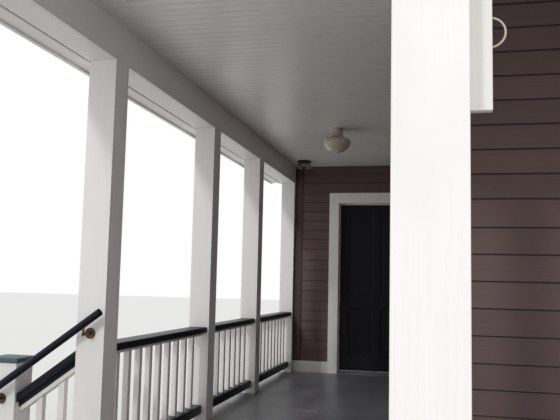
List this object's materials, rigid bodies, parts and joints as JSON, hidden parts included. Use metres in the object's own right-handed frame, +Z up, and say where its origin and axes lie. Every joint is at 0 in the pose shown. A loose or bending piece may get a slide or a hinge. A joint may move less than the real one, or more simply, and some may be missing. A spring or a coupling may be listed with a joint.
{
  "type": "front porch",
  "caption": "L-shaped timber porch round a house corner: boxed posts and beams, low hipped roof, dark-capped railings, side stair and an inward-opening front door.",
  "frame": {"origin": "at ground level, under the outer corner of the house walls that the porch wraps round", "axes": "+X along the front wall to the right, +Y back along the side wall to the front door, +Z up"},
  "size_m": [6.4393, 7.628, 4.244],
  "materials": {
    "siding": "lap siding with satin brown-taupe paint",
    "white_trim": "white painted boards",
    "deck_paint": "grey-blue porch paint on boards, worn satin",
    "ceiling_paint": "off-white painted beaded boards",
    "shingles": "mineral-grained roofing shingles",
    "dark_rail": "near-black blue gloss paint",
    "cap_paint": "blue-grey satin paint",
    "door_paint": "near-black satin paint",
    "brass": "aged satin brass",
    "lamp_glass": "ribbed white pressed glass",
    "lamp_metal": "dark brown enamel"
  },
  "bodies": {
    "porch": {"front_wall": "siding", "side_wall": "siding", "door_wall_left": "siding", "door_wall_right": "siding", "door_wall_head": "siding", "door_wall_base": "siding", "door_casing": "white_trim", "door_frame": "white_trim", "door_sill": "deck_paint", "base_boards": "white_trim", "wall_boards": "siding", "frame_hinges": "brass", "front_deck": "deck_paint", "side_deck": "deck_paint", "front_skirt": "white_trim", "side_skirt": "white_trim", "end_skirt": "white_trim", "front_posts": "white_trim", "side_posts": "white_trim", "wall_posts": "white_trim", "front_beam": "white_trim", "side_beam": "white_trim", "end_beam": "white_trim", "front_ceiling": "ceiling_paint", "side_ceiling": "ceiling_paint", "front_eave": "white_trim", "side_eave": "white_trim", "front_roof": "shingles", "side_roof": "shingles", "end_gable": "white_trim", "front_rails": "dark_rail", "side_rails": "dark_rail", "end_rails": "dark_rail", "front_balusters": "white_trim", "side_balusters": "white_trim", "end_balusters": "white_trim", "stair_frame": "white_trim", "stair_treads": "deck_paint", "stair_newels": "white_trim", "newel_caps": "cap_paint", "stair_rails": "dark_rail", "stair_balusters": "white_trim", "ceiling_lamp": "lamp_glass", "spotlight": "lamp_metal", "back_board": "white_trim"},
    "door": {"door_leaf": "door_paint", "leaf_fittings": "brass"}
  },
  "joints": [
    {"name": "door_swing", "type": "hinge", "parent": "porch", "child": "door", "pos_m": [-1.2335, 5.4265, 1.6], "axis": [0, 0, 1], "range_deg": [0, 95]}
  ]
}
